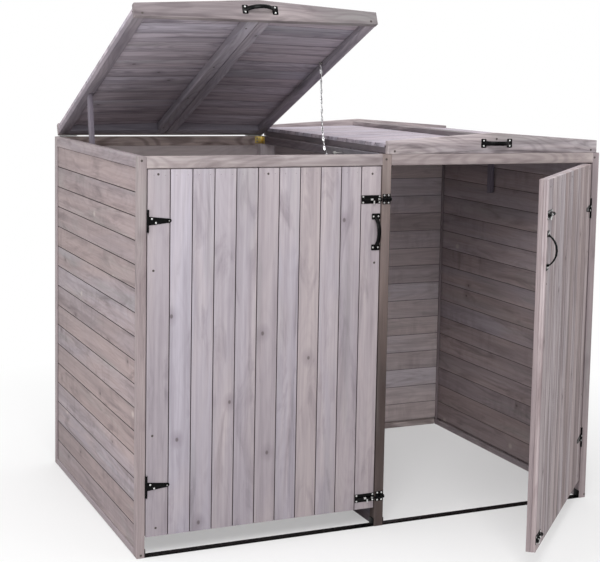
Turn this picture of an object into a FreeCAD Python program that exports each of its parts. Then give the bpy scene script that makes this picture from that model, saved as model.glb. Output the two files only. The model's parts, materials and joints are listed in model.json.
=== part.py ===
import FreeCAD, Part
import math
import os
import re
import Sketcher

# Two-bay wheelie bin store: a timber frame with boarded sides and back, two boarded doors
# and two low gabled lids. Millimetres, +Z up, +Y to the back, +X to the right. The origin
# is the centre of the footprint on the floor, under the divider's lower rail.
# At rest the left lid stands open on its prop and chain, the right door is ajar, and the
# other lid and door are closed with their bolts drawn back.

doc = FreeCAD.newDocument("BinStore")
sheet = doc.addObject("Spreadsheet::Sheet", "dims")

SIZES = {
    # Frame
    "overall_width": 1580,
    "overall_depth": 1040,
    "frame_height": 1180,
    "stile_thick": 24,
    "stile_wide": 33,
    "middle_post_wide": 31,
    "middle_post_deep": 33,
    "rear_post_wide": 60,
    "rear_post_deep": 34,
    "top_rail_high": 34,
    "foot_rail_high": 21,
    "front_rail_thick": 24,
    "back_rail_thick": 18,
    "divider_thick": 24,
    "divider_lower_high": 90,
    "divider_upper_high": 28,
    "edge_ease": 1.5,
    # Boards
    "board_thick": 14,
    "board_recess": 4,
    "joint_gap": 1.6,
    "board_lap": 6,
    "fit": 0.3,
    "groove_depth": 8,
    "side_board_count": 16,
    "back_board_count": 16,
    "door_board_count": 11,
    "roof_board_count": 14,
    # Doors
    "door_gap": 3,
    "door_lift": 62,
    "door_frame_thick": 14,
    "door_stile_wide": 45,
    "door_ajar_angle": 45.5,
    # Hinges
    "knuckle_radius": 3.25,
    "knuckle_long": 66,
    "hinge_pin_radius": 1.5,
    "pin_clearance": 0.05,
    "leaf_thick": 1.5,
    "leaf_wide": 17,
    "upper_hinge_drop": 148,
    "lower_hinge_rise": 152,
    "strap_long": 71,
    "strap_wide": 25,
    "strap_tip_radius": 6,
    "lid_hinge_inset": 36,
    # Barrel bolts
    "bolt_plate_long": 66,
    "bolt_plate_high": 26,
    "bolt_edge_set": 0.7,
    "bolt_radius": 3.5,
    "bolt_clearance": 0.3,
    "bolt_tip_set": 0.8,
    "bolt_throw": 17,
    "guide_wall": 1.6,
    "knob_from_edge": 25.5,
    "knob_radius": 2.5,
    "knob_long": 15,
    "upper_bolt_drop": 101,
    "lower_bolt_rise": 36,
    "keeper_long": 13,
    "keeper_high": 31,
    # Pull handles
    "handle_long": 114,
    "handle_wide": 28,
    "handle_pad_long": 18,
    "handle_plate_thick": 2,
    "grip_end_radius": 4,
    "grip_middle_radius": 7,
    "grip_stand": 27,
    "grip_span": 92,
    "door_handle_drop": 202,
    "door_handle_edge": 16.5,
    "lid_handle_rise": 31,
    # Floor bars
    "bar_deep": 28,
    "bar_thick": 3,
    "bar_set_back": 2,
    "bar_tab_high": 25,
    # Lids
    "lid_open_angle": 22.5,
    "lid_side_set": 10,
    "lid_middle_gap": 6,
    "lid_front_set": 2,
    "lid_lift": 2,
    "fascia_thick": 20,
    "fascia_end_high": 39,
    "fascia_peak_high": 64,
    "lid_batten_wide": 35,
    "lid_batten_high": 18,
    "roof_thick": 12,
    "roof_rise": 10,
    "rafter_wide": 35,
    "rafter_groove": 3,
    "ridge_batten_wide": 55,
    "ridge_batten_high": 15,
    # Props
    "prop_wide": 30,
    "prop_thick": 12,
    "prop_from_back": 405,
    "prop_lean": 12,
    "prop_tail": 15,
    "prop_screw_radius": 2.5,
    "prop_screw_head_radius": 5,
    "prop_screw_head_long": 2.5,
    # Chains and eyes
    "chain_reach": 683,
    "chain_from_batten": 8,
    "anchor_step": 70,
    "chain_pitch": 16,
    "hang_one": 6,
    "hang_two": 8,
    "hang_three": 20,
    "fold_two": 90,
    "fold_three": 160,
    "fold_four": 165,
    "wire_radius": 1.2,
    "wire_clearance": 0.2,
    "link_half_wide": 3.4,
    "eye_radius": 5,
    "eye_rise": 13,
    # Zinc corner bracket at the back of the divider
    "bracket_leg": 28,
    "bracket_high": 26,
}

for row, (alias, amount) in enumerate(SIZES.items(), start=1):
    sheet.set(f"A{row}", alias)
    sheet.set(f"B{row}", str(amount))
    sheet.setAlias(f"B{row}", alias)
doc.recompute()

# Links in each straight run of a chain, from the lid's eye to the divider's. Every run but the
# last ends in a link that faces the front, and the next run turns about its foot.
RUNS = (12, 2, 4, 4, 3)


def run_reach(wave, leans):
    """A formula for how far some runs of a chain reach together, ahead with sin or down with cos."""
    steps = [f"{count} * {wave}({lean})" for count, lean in leans]
    return f"chain_pitch * ({' + '.join(steps)})"


HANGING = tuple(zip(RUNS[:3], ("hang_one", "hang_two", "hang_three")))
FOLDED = tuple(zip(RUNS[1:4], ("fold_two", "fold_three", "fold_four")))

# Sizes that follow from the driving ones, as formulas of the sheet
FOLLOWS = {
    "half_width": "overall_width / 2",
    "half_depth": "overall_depth / 2",
    "stile_inside": "overall_width / 2 - stile_thick",
    "panel_high": "frame_height - top_rail_high - foot_rail_high",
    "side_run": "overall_depth - 2 * stile_wide",
    "door_wide": "overall_width / 2 - stile_thick - middle_post_wide / 2 - 2 * door_gap",
    "door_high": "frame_height - top_rail_high - door_gap - door_lift",
    "door_edge": "door_gap - knuckle_radius",
    "door_free_edge": "door_edge + door_wide",
    "lid_wide": "overall_width / 2 - lid_side_set - lid_middle_gap / 2",
    "lid_deep": "overall_depth - lid_front_set",
    "lid_centre": "lid_middle_gap / 2 + lid_wide / 2",
    "lid_base": "lid_lift - knuckle_radius",
    "roof_run": "lid_deep - 2 * fascia_thick",
    "rod_stand": "leaf_thick + bolt_clearance + bolt_radius",
    # The outer guide stops the knob at the end of its throw
    "guide_long": "knob_from_edge - bolt_throw - knob_radius - bolt_edge_set - fit",
    # Prop: its screw is halfway up the side's top rail, and its head meets the lid's underside
    "prop_fall": "knuckle_radius + top_rail_high / 2",
    "prop_back": "knuckle_radius + prop_from_back",
    "prop_long": "(lid_base - fit + prop_back * sin(lid_open_angle) + prop_fall * cos(lid_open_angle))"
                 " / cos(lid_open_angle - prop_lean)",
    # Chain: places count ahead of the lid's hinge pin and up from it, and leans from straight down
    # towards the front. The open lid's chain hangs slack to the divider's eye, and the closed
    # lid's chain hangs in a loop.
    "link_overlap": "2 * wire_radius + wire_clearance",
    "link_long": "chain_pitch + link_overlap",
    "chain_line": "lid_middle_gap / 2 + lid_batten_wide + chain_from_batten",
    "chain_drop": "lid_base + eye_rise - eye_radius",
    "open_ahead": "chain_reach * cos(lid_open_angle) - chain_drop * sin(lid_open_angle)",
    "open_up": "chain_reach * sin(lid_open_angle) + chain_drop * cos(lid_open_angle)",
    "anchor_ahead": "chain_reach + anchor_step",
    "anchor_up": "-knuckle_radius - divider_upper_high / 2 - eye_radius",
    "hang_ahead": f"anchor_ahead - open_ahead - {run_reach('sin', HANGING)}",
    "hang_down": f"open_up - anchor_up - {run_reach('cos', HANGING)}",
    "fold_ahead": f"anchor_ahead - chain_reach - {run_reach('sin', FOLDED)}",
    "fold_down": f"chain_drop - anchor_up - {run_reach('cos', FOLDED)}",
    # Doors' ironmongery, from the top and the foot of the door
    "door_top": "door_lift + door_high",
    "upper_hinge_level": "door_top - upper_hinge_drop",
    "lower_hinge_level": "door_lift + lower_hinge_rise",
    "upper_bolt_level": "door_top - upper_bolt_drop",
    "lower_bolt_level": "door_lift + lower_bolt_rise",
    "door_handle_level": "door_top - door_handle_drop",
}


def two_bars(name, first, last):
    """Follow two straight runs of chain that together reach a point: the lean of each."""
    span = f"sqrt({name}_ahead * {name}_ahead + {name}_down * {name}_down)"
    bearing = f"atan2({name}_ahead; {name}_down) / 1 deg"
    for end, sign, here, there in (("first", "-", first, last), ("last", "+", last, first)):
        corner = f"(({here}) * ({here}) + ({span}) * ({span}) - ({there}) * ({there})) / (2 * ({here}) * {span})"
        FOLLOWS[f"{name}_{end}"] = f"{bearing} {sign} acos({corner}) / 1 deg"


end_run = f"{RUNS[4]} * chain_pitch - link_overlap"
two_bars("hang", f"{RUNS[3]} * chain_pitch", end_run)
two_bars("fold", f"{RUNS[0]} * chain_pitch", end_run)


def spell(formula):
    """Write a formula of plain names as an expression of the sheet."""
    text = str(formula)
    while True:
        grown = re.sub(r"[a-z]+(?:_[a-z]+)*", lambda m: f"({FOLLOWS[m[0]]})" if m[0] in FOLLOWS else m[0], text)
        if grown == text:
            break
        text = grown
    return re.sub(r"[a-z]+(?:_[a-z]+)*", lambda m: f"dims.{m[0]}" if m[0] in SIZES else m[0], text)


def size(formula):
    """Read the present value of a formula."""
    found = sheet.evalExpression(spell(formula))
    return float(getattr(found, "Value", found))


def bind(thing, place, formula):
    thing.setExpression(place, spell(formula))


def put(thing, corner):
    """Bind a thing's Placement to three formulas."""
    for axis, formula in zip("xyz", corner):
        bind(thing, f"Placement.Base.{axis}", formula)
    return thing


def face(thing, axis, degrees):
    """Set a fixed turn about an axis."""
    thing.Placement = FreeCAD.Placement(FreeCAD.Vector(), FreeCAD.Rotation(FreeCAD.Vector(*axis), degrees))
    return thing


def turn(thing, axis, degrees):
    """Bind a turn about an axis to a formula."""
    face(thing, axis, 1)
    bind(thing, "Placement.Rotation.Angle", degrees)
    return thing


def origin_of(body, role):
    return next(entry for entry in body.Origin.OriginFeatures if entry.Role == role)


def sketch_on(body, plane, name):
    sketch = body.newObject("Sketcher::SketchObject", name)
    sketch.AttachmentSupport = [(origin_of(body, plane), "")]
    sketch.MapMode = "FlatFace"
    return sketch


def outline(body, plane, corners, closed=True):
    """A line through corners that are bound to the sheet."""
    sketch = sketch_on(body, plane, "Outline")
    places = [FreeCAD.Vector(size(across), size(up), 0) for across, up in corners]
    count = len(places)
    lines = count if closed else count - 1
    for here in range(lines):
        sketch.addGeometry(Part.LineSegment(places[here], places[(here + 1) % count]), False)
    for here in range(lines if closed else lines - 1):
        sketch.addConstraint(Sketcher.Constraint("Coincident", here, 2, (here + 1) % lines, 1))
    for here, pair in enumerate(corners):
        line, end = (here, 1) if here < lines else (here - 1, 2)
        for kind, formula, amount in zip(("DistanceX", "DistanceY"), pair, places[here]):
            row = sketch.addConstraint(Sketcher.Constraint(kind, -1, 1, line, end, amount))
            sketch.setExpression(f"Constraints[{row}]", spell(formula))
    return sketch


def extrude(body, sketch, depth):
    pad = body.newObject("PartDesign::Pad", "Length")
    pad.Profile = sketch
    pad.Reversed = sketch.AttachmentSupport[0][0].Role == "XZ_Plane"
    bind(pad, "Length", depth)
    return pad


def shaped(name, plane, corners, depth, corner=("0", "0", "0")):
    """A bar of one outline, run along the plane's axis from its corner."""
    body = doc.addObject("PartDesign::Body", name)
    extrude(body, outline(body, plane, corners), depth)
    return put(body, corner)


def timber(name, plane, wide, high, long, corner):
    """Planed timber with its four long edges eased."""
    ease = "edge_ease"
    corners = [
        (ease, "0"), (f"{wide} - {ease}", "0"), (wide, ease), (wide, f"{high} - {ease}"),
        (f"{wide} - {ease}", high), (ease, high), ("0", f"{high} - {ease}"), ("0", ease),
    ]
    return shaped(name, plane, corners, long, corner)


def box(name, extent, corner):
    block = doc.addObject("Part::Box", name)
    for side, formula in zip(("Length", "Width", "Height"), extent):
        bind(block, side, formula)
    return put(block, corner)


def rod(name, radius, long, centre, along="z"):
    """A round bar from its centre, along x or z."""
    bar = doc.addObject("Part::Cylinder", name)
    bind(bar, "Radius", radius)
    bind(bar, "Height", long)
    axis, degrees = {"x": ((0, 1, 0), 90), "z": ((0, 0, 1), 0)}[along]
    return put(face(bar, axis, degrees), centre)


def twelve(name, radius, long, centre, along="z"):
    """A small round bar drawn with twelve flats, the radius measured to a flat."""
    bar = doc.addObject("Part::Prism", name)
    bar.Polygon = 12
    bind(bar, "Circumradius", f"({radius}) / cos(15)")
    bind(bar, "Height", long)
    first = FreeCAD.Rotation(FreeCAD.Vector(0, 0, 1), 15)
    axis, degrees = {"x": ((0, 1, 0), 90), "z": ((0, 0, 1), 0)}[along]
    bar.Placement = FreeCAD.Placement(FreeCAD.Vector(), FreeCAD.Rotation(FreeCAD.Vector(*axis), degrees) * first)
    return put(bar, centre)


def fuse(name, pieces):
    joined = doc.addObject("Part::MultiFuse", name)
    joined.Shapes = pieces
    return joined


def cut(name, solid, tool):
    left = doc.addObject("Part::Cut", name)
    left.Base = solid
    left.Tool = tool
    return left


def mirrored(piece):
    """The same piece for the other hand."""
    other = doc.addObject("Part::Mirroring", f"{piece.Name}_other_hand")
    other.Source = piece
    other.Normal = FreeCAD.Vector(1, 0, 0)
    return other


def group(name, pieces):
    held = doc.addObject("Part::Compound", name)
    held.Links = pieces
    return held


NODES = []


def node(label, pieces, corner=("0", "0", "0"), axis=None, degrees="0"):
    """A named sub-part of one or more separate solids, set in its place."""
    held = group(label, pieces)
    held.Label = label
    if axis:
        turn(held, axis, degrees)
    put(held, corner)
    NODES.append(held)
    return held


# Boards: rebated on both edges, so that each laps the next with a narrow open joint

def boards(name, plane, direction, count, pitch, thick, face_far, long, corner, envelope):
    """A panel of lapped boards, trimmed to its opening."""
    gap = "joint_gap"
    lap = "board_lap"
    half = f"{thick} / 2"
    near = [
        ("0", "0"), ("0", f"{pitch} - {gap}"), (f"{half} + fit", f"{pitch} - {gap}"),
        (f"{half} + fit", f"{pitch} + {lap} - fit"), (thick, f"{pitch} + {lap} - fit"),
        (thick, lap), (half, lap), (half, "0"),
    ]
    corners = near
    if face_far:
        corners = [(f"{thick} - ({depth})", along) for depth, along in near]
    if plane[0] == direction[0]:
        corners = [(along, depth) for depth, along in corners]
    body = doc.addObject("PartDesign::Body", f"{name}_run")
    body.AllowCompound = True
    first = extrude(body, outline(body, plane, corners), long)
    doc.recompute()
    pattern = body.newObject("PartDesign::LinearPattern", "Boards")
    pattern.Originals = [first]
    pattern.Direction = (origin_of(body, direction), [""])
    bind(pattern, "Occurrences", count)
    bind(pattern, "Length", f"({count} - 1) * ({pitch})")
    body.Tip = pattern
    put(body, corner)
    trimmed = doc.addObject("Part::Common", f"{name}_trimmed")
    trimmed.Base = body
    trimmed.Tool = box(f"{name}_opening", *envelope)
    return trimmed


# Frame: side panels

stile_corners = [
    ("0", "0"), ("stile_thick", "0"), ("stile_thick", "stile_wide"),
    ("board_recess + board_thick + fit", "stile_wide"),
    ("board_recess + board_thick + fit", "stile_wide - groove_depth"),
    ("board_recess - fit", "stile_wide - groove_depth"), ("board_recess - fit", "stile_wide"),
    ("0", "stile_wide"),
]
front_stile = shaped("front_stile", "XY_Plane", stile_corners, "frame_height", ("-half_width", "-half_depth", "0"))

rear_corners = [
    ("0", "0"), ("board_recess - fit", "0"), ("board_recess - fit", "groove_depth"),
    ("board_recess + board_thick + fit", "groove_depth"), ("board_recess + board_thick + fit", "0"),
    ("stile_thick", "0"), ("stile_thick", "stile_wide - back_rail_thick - fit"),
    ("stile_thick - groove_depth", "stile_wide - back_rail_thick - fit"),
    ("stile_thick - groove_depth", "stile_wide - board_recess + fit"),
    ("stile_thick", "stile_wide - board_recess + fit"), ("stile_thick", "stile_wide"), ("0", "stile_wide"),
]
rear_stile = shaped("rear_stile", "XY_Plane", rear_corners, "frame_height",
                    ("-half_width", "half_depth - stile_wide", "0"))

side_top_rail = timber("side_top_rail", "XZ_Plane", "stile_thick", "top_rail_high", "side_run",
                       ("-half_width", "-half_depth + stile_wide", "frame_height - top_rail_high"))
side_foot_rail = timber("side_foot_rail", "XZ_Plane", "stile_thick", "foot_rail_high", "side_run",
                        ("-half_width", "-half_depth + stile_wide", "0"))

board_y = "-half_depth + stile_wide - groove_depth + fit"
board_run = "side_run + 2 * groove_depth - 2 * fit"
side_panel = boards(
    "side", "XZ_Plane", "Z_Axis", "side_board_count", "panel_high / side_board_count", "board_thick", False,
    board_run, ("-half_width + board_recess", board_y, "foot_rail_high"),
    (("board_thick", board_run, "panel_high"), ("-half_width + board_recess", board_y, "foot_rail_high")))

node("side_stiles", [front_stile, rear_stile, mirrored(front_stile), mirrored(rear_stile)])
node("side_rails", [side_top_rail, side_foot_rail, mirrored(side_top_rail), mirrored(side_foot_rail)])
node("side_boards_left", [side_panel])
node("side_boards_right", [mirrored(side_panel)])

# Frame: posts, front rails and divider

node("post_front_middle", [timber(
    "middle_post", "XY_Plane", "middle_post_wide", "middle_post_deep", "frame_height",
    ("-middle_post_wide / 2", "-half_depth", "0"))])
node("post_rear_middle", [timber(
    "rear_post", "XY_Plane", "rear_post_wide", "rear_post_deep", "frame_height - divider_upper_high",
    ("-rear_post_wide / 2", "half_depth - back_rail_thick - rear_post_deep", "0"))])

front_rail = timber("front_rail", "YZ_Plane", "front_rail_thick", "top_rail_high",
                    "stile_inside - middle_post_wide / 2",
                    ("-stile_inside", "-half_depth", "frame_height - top_rail_high"))
node("front_rails", [front_rail, mirrored(front_rail)])

divider_run = "overall_depth - middle_post_deep - rear_post_deep - back_rail_thick"
divider_y = "-half_depth + middle_post_deep"
node("divider_rails", [
    timber("divider_lower", "XZ_Plane", "divider_thick", "divider_lower_high", divider_run,
           ("-divider_thick / 2", divider_y, "0")),
    timber("divider_upper", "XZ_Plane", "divider_thick", "divider_upper_high", f"{divider_run} + rear_post_deep",
           ("-divider_thick / 2", divider_y, "frame_height - divider_upper_high")),
])

# Frame: back panel

back_y = "half_depth - back_rail_thick"
back_rails = []
for place, high, low in (("top", "top_rail_high", "frame_height - top_rail_high"), ("foot", "foot_rail_high", "0")):
    back_rails.append(timber(f"back_{place}_rail", "YZ_Plane", "back_rail_thick", high, "2 * stile_inside",
                             ("-stile_inside", back_y, low)))
node("back_rails", back_rails)

back_run = "2 * (stile_inside + groove_depth - fit)"
back_corner = ("-stile_inside - groove_depth + fit", back_y, "foot_rail_high")
back_panel = boards(
    "back", "YZ_Plane", "Z_Axis", "back_board_count", "panel_high / back_board_count", "board_thick", True,
    back_run, back_corner, ((back_run, "board_thick", "panel_high"), back_corner))
node("back_boards", [back_panel])

# Frame: zinc bracket in the corner of the divider's top rail and the back rail

bracket = shaped(
    "bracket", "XY_Plane",
    [("0", "0"), ("0", "-bracket_leg"), ("-leaf_thick", "-bracket_leg"), ("-leaf_thick", "-leaf_thick"),
     ("-bracket_leg", "-leaf_thick"), ("-bracket_leg", "0")],
    "bracket_high", ("-divider_thick / 2", back_y, "frame_height - divider_upper_high / 2 - bracket_high / 2"))
node("divider_bracket", [bracket])

# Frame: flat steel bars on the floor, with their ends turned up against the posts

bar_wide = "stile_inside - middle_post_wide / 2"
bar_corners = [
    ("0", "0"), (bar_wide, "0"), (bar_wide, "bar_tab_high"), (f"{bar_wide} - bar_thick", "bar_tab_high"),
    (f"{bar_wide} - bar_thick", "bar_thick"), ("bar_thick", "bar_thick"), ("bar_thick", "bar_tab_high"),
    ("0", "bar_tab_high"),
]
floor_bar = shaped("floor_bar", "XZ_Plane", bar_corners, "bar_deep",
                   ("-stile_inside", "-half_depth + bar_set_back", "0"))
node("threshold_bars", [floor_bar, mirrored(floor_bar)])

# Hinges: built about a pin on the z axis. The fixed leaf lies against -x and runs to +y,
# the moving leaf lies against +y and runs to +x. The outer knuckles belong to the fixed leaf.

def knuckle(name, low, long, level, bar):
    """A knuckle and its bore: round to turn on the pin, or with flats that grip it."""
    place = ("0", "0", f"{level} + {low}")
    shell = twelve(f"{name}_shell", "knuckle_radius * cos(15)", long, place)
    return shell, bar(f"{name}_bore", "hinge_pin_radius + pin_clearance", long, place)


third = "knuckle_long / 3"
leaf_start = "knuckle_radius + bolt_clearance"


def fixed_leaf(name, level):
    """Leaf with the two outer knuckles."""
    pieces = [box(f"{name}_plate", ("leaf_thick", "leaf_wide", "knuckle_long"),
                  ("-knuckle_radius", leaf_start, f"{level} - knuckle_long / 2"))]
    bores = []
    for end, low in (("low", "-knuckle_long / 2"), ("high", "knuckle_long / 6")):
        shell, bore = knuckle(f"{name}_{end}", low, third, level, twelve)
        tab = box(f"{name}_{end}_tab", ("leaf_thick", leaf_start, third),
                  ("-knuckle_radius", "0", f"{level} + {low}"))
        pieces += [shell, tab]
        bores.append(bore)
    return cut(name, fuse(f"{name}_whole", pieces), fuse(f"{name}_bores", bores))


def moving_leaf(name, plate, level, tab_inside):
    """A plate joined to the middle knuckle by a tab."""
    shell, bore = knuckle(f"{name}_middle", "-knuckle_long / 6 + pin_clearance",
                          f"{third} - 2 * pin_clearance", level, rod)
    tab = box(f"{name}_tab", (f"{leaf_start} + {tab_inside}", "leaf_thick", f"{third} - 2 * pin_clearance"),
              ("0", "knuckle_radius - leaf_thick", f"{level} - knuckle_long / 6 + pin_clearance"))
    return cut(name, fuse(f"{name}_whole", [plate, shell, tab]), bore)


def strap_plate(name, level):
    """Tapered strap with a round tip, for a door."""
    body = doc.addObject("PartDesign::Body", name)
    tip = "strap_long - strap_tip_radius"
    corners = [
        (leaf_start, "-strap_wide / 2"), (tip, "-strap_tip_radius"), (tip, "strap_tip_radius"),
        (leaf_start, "strap_wide / 2"),
    ]
    extrude(body, outline(body, "XZ_Plane", corners), "leaf_thick")
    round_end = sketch_on(body, "XZ_Plane", "Tip")
    round_end.addGeometry(Part.Circle(FreeCAD.Vector(size(tip), 0, 0), FreeCAD.Vector(0, 0, 1),
                                      size("strap_tip_radius")), False)
    round_end.addConstraint(Sketcher.Constraint("PointOnObject", 0, 3, -1))
    row = round_end.addConstraint(Sketcher.Constraint("DistanceX", -1, 1, 0, 3, size(tip)))
    round_end.setExpression(f"Constraints[{row}]", spell(tip))
    row = round_end.addConstraint(Sketcher.Constraint("Radius", 0, size("strap_tip_radius")))
    round_end.setExpression(f"Constraints[{row}]", spell("strap_tip_radius"))
    extrude(body, round_end, "leaf_thick")
    return put(body, ("0", "knuckle_radius - leaf_thick", level))


def hinge_pin(name, level):
    return rod(name, "hinge_pin_radius", "knuckle_long", ("0", "0", f"{level} - knuckle_long / 2"))


# Doors, built about the hinge pin, with the front face at y = knuckle_radius

door_panel = boards(
    "door", "XY_Plane", "X_Axis", "door_board_count", "door_wide / door_board_count", "board_thick", False,
    "door_high", ("door_edge", "knuckle_radius", "door_lift"),
    (("door_wide", "board_thick", "door_high"), ("door_edge", "knuckle_radius", "door_lift")))

door_back = "knuckle_radius + board_thick"
door_rail_run = "door_wide - 2 * door_stile_wide"
door_frame = []
for side, across in (("hinge", "door_edge"), ("free", "door_free_edge - door_stile_wide")):
    door_frame.append(timber(f"door_{side}_stile", "XY_Plane", "door_stile_wide", "door_frame_thick",
                             "door_high", (across, door_back, "door_lift")))
for place, low in (("bottom", "door_lift"), ("middle", "door_lift + door_high / 2 - door_stile_wide / 2"),
                   ("top", "door_lift + door_high - door_stile_wide")):
    door_frame.append(timber(f"door_{place}_rail", "YZ_Plane", "door_frame_thick", "door_stile_wide",
                             door_rail_run, ("door_edge + door_stile_wide", door_back, low)))

straps = []
for level in ("upper", "lower"):
    plate = strap_plate(f"{level}_strap_plate", f"{level}_hinge_level")
    straps.append(moving_leaf(f"{level}_strap", plate, f"{level}_hinge_level", "edge_ease"))


# Barrel bolts: a plate with two guides, and a sliding rod with its knob

def guide(name, start, long, level, back):
    """A strap bent round the rod, standing on a plate whose front is at back."""
    stand = "rod_stand - leaf_thick"
    inner = "bolt_radius + bolt_clearance"
    outer = "bolt_radius + bolt_clearance + guide_wall"
    bends = range(105, 256, 30)

    def arch(radius):
        return [(f"({radius}) * cos({angle}) / cos(15)", f"({radius}) * sin({angle}) / cos(15)") for angle in bends]

    corners = [(stand, outer)] + arch(outer) + [(stand, f"-({outer})"), (stand, f"-({inner})")]
    corners += arch(inner)[::-1] + [(stand, inner)]
    return shaped(name, "YZ_Plane", corners, long, (start, f"{back} - ({stand})", level))


plate_end = "door_free_edge - bolt_edge_set"
rod_y = "knuckle_radius - rod_stand"
bolt_plates = []
bolt_rods = {}
for level in ("upper", "lower"):
    high = f"{level}_bolt_level"
    pieces = [box(f"{level}_bolt_sheet", ("bolt_plate_long", "leaf_thick", "bolt_plate_high"),
                  (f"{plate_end} - bolt_plate_long", "knuckle_radius - leaf_thick",
                   f"{high} - bolt_plate_high / 2"))]
    for end, start in (("inner", f"{plate_end} - bolt_plate_long + bolt_edge_set"),
                       ("outer", f"{plate_end} - guide_long")):
        pieces.append(guide(f"{level}_{end}_guide", start, "guide_long", high, "knuckle_radius - leaf_thick"))
    bolt_plates.append(fuse(f"{level}_bolt_plate", pieces))
    shaft = rod(f"{level}_bolt_shaft", "bolt_radius", "bolt_plate_long - bolt_tip_set",
                (f"{plate_end} - bolt_plate_long", rod_y, high), "x")
    knob = twelve(f"{level}_bolt_knob", "knob_radius", "knob_long",
               ("door_free_edge - knob_from_edge", rod_y, f"{high} - knob_long"))
    bolt_rods[level] = fuse(f"{level}_bolt_rod", [shaft, knob])


# Pull handles: two screw pads and a bowed grip that swells to its middle, standing off -y

GRIP_STEPS = 10


def pull_handle(name):
    pads = []
    for end, low in (("low", "-handle_long / 2"), ("high", "handle_long / 2 - handle_pad_long")):
        pads.append(timber(f"{name}_{end}_pad", "XZ_Plane", "handle_wide", "handle_pad_long",
                           "handle_plate_thick", ("-handle_wide / 2", "-handle_plate_thick", low)))
    half_span = "grip_span / 2"
    bow = f"(({half_span}) * ({half_span}) + grip_stand * grip_stand) / (2 * grip_stand)"
    sections = []
    for step in range(GRIP_STEPS + 1):
        share = 2 * step / GRIP_STEPS - 1
        turned = f"(asin({half_span} / ({bow})) * {1.2 * share:.3f})"
        swell = f"grip_end_radius + (grip_middle_radius - grip_end_radius) * {(1 - share * share) ** 2:.4f}"
        section = doc.addObject("Part::RegularPolygon", f"{name}_section_{step + 1}")
        section.Polygon = 12
        bind(section, "Circumradius", f"({swell}) / max(cos({turned}); 0.5)")
        sections.append(put(section, ("0", f"{bow} - grip_stand - ({bow}) * cos({turned})",
                                      f"({bow}) * sin({turned})")))
    bar = doc.addObject("Part::Loft", f"{name}_bar")
    bar.Sections = sections
    bar.Solid = True
    bar.Ruled = True
    reach = "grip_stand + 2 * grip_middle_radius"
    front = box(f"{name}_front", ("handle_wide", reach, "handle_long"),
                ("-handle_wide / 2", f"-({reach})", "-handle_long / 2"))
    grip = doc.addObject("Part::Common", f"{name}_grip")
    grip.Base = bar
    grip.Tool = front
    return fuse(name, pads + [grip])


door_handle = group("door_handle_set", [pull_handle("door_handle")])
put(door_handle, ("door_free_edge - door_handle_edge", "knuckle_radius", "door_handle_level"))

# Doors set in the frame: the left one closed, the right one ajar

door_axis_x = "stile_inside - knuckle_radius"
door_axis_y = "-half_depth - knuckle_radius"
DOOR_PIECES = {
    "boards": [door_panel],
    "back_frame": door_frame,
    "hinge_straps": straps,
    "bolt_plates": bolt_plates,
    "handle": [door_handle],
}
for label, pieces in DOOR_PIECES.items():
    node(f"door_left_{label}", pieces, (f"-({door_axis_x})", door_axis_y, "0"))
    node(f"door_right_{label}", [mirrored(piece) for piece in pieces], (door_axis_x, door_axis_y, "0"),
         (0, 0, 1), "door_ajar_angle")
for level, piece in bolt_rods.items():
    node(f"bolt_left_{level}", [piece], (f"-({door_axis_x})", door_axis_y, "0"))
    node(f"bolt_right_{level}", [mirrored(piece)], (door_axis_x, door_axis_y, "0"), (0, 0, 1), "door_ajar_angle")

# Keepers on the middle post, one beside the other

keepers = []
for level in ("upper", "lower"):
    high = f"{level}_bolt_level"
    start = "-keeper_long - bolt_edge_set"
    plate = box(f"{level}_keeper_sheet", ("keeper_long", "leaf_thick", "keeper_high"),
                (start, "-half_depth - leaf_thick", f"{high} - keeper_high / 2"))
    strap = guide(f"{level}_keeper_guide", start, "keeper_long", high, "-half_depth - leaf_thick")
    keeper = fuse(f"{level}_keeper", [plate, strap])
    keepers += [keeper, mirrored(keeper)]
node("bolt_keepers", keepers)

# Lids, built about the hinge pin with x from the lid's middle, u forward from the back and
# w up from the lid's underside

def u(formula):
    return f"-knuckle_radius - ({formula})"


def w(formula):
    return f"lid_base + {formula}"


half_lid = "lid_wide / 2"
lid_axis_y = "half_depth + knuckle_radius"
lid_axis_z = "frame_height + knuckle_radius"
fascia_corners = [
    (f"-({half_lid})", "0"), (half_lid, "0"), (half_lid, "fascia_end_high"), ("0", "fascia_peak_high"),
    (f"-({half_lid})", "fascia_end_high"),
]
front_fascia_corners = [(across, up if up != "0" else "fit - lid_lift") for across, up in fascia_corners]
lid_fascias = [
    shaped("rear_fascia", "XZ_Plane", fascia_corners, "fascia_thick", ("0", u("fascia_thick"), w("0"))),
    shaped("front_fascia", "XZ_Plane", front_fascia_corners, "fascia_thick", ("0", u("lid_deep"), w("0"))),
]

roof_slope = f"roof_rise / ({half_lid})"
batten_corners = [
    ("0", "0"), ("lid_batten_wide", "0"), ("lid_batten_wide", f"lid_batten_high + lid_batten_wide * {roof_slope}"),
    ("0", "lid_batten_high"),
]
side_batten = shaped("side_batten", "XZ_Plane", batten_corners, "roof_run",
                     (f"-({half_lid})", u("lid_deep - fascia_thick"), w("0")))
rafter_side = "rafter_wide + rafter_groove / 2"
rear_batten = shaped(
    "rear_batten", "XZ_Plane",
    [("0", "0"), (f"{half_lid} - lid_batten_wide - ({rafter_side})", "0"),
     (f"{half_lid} - lid_batten_wide - ({rafter_side})",
      f"lid_batten_high + ({half_lid} - ({rafter_side})) * {roof_slope}"),
     ("0", f"lid_batten_high + lid_batten_wide * {roof_slope}")],
    "lid_batten_wide", (f"-({half_lid}) + lid_batten_wide", u("fascia_thick + lid_batten_wide"), w("0")))
lid_battens = [side_batten, rear_batten, mirrored(side_batten), mirrored(rear_batten)]

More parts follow.
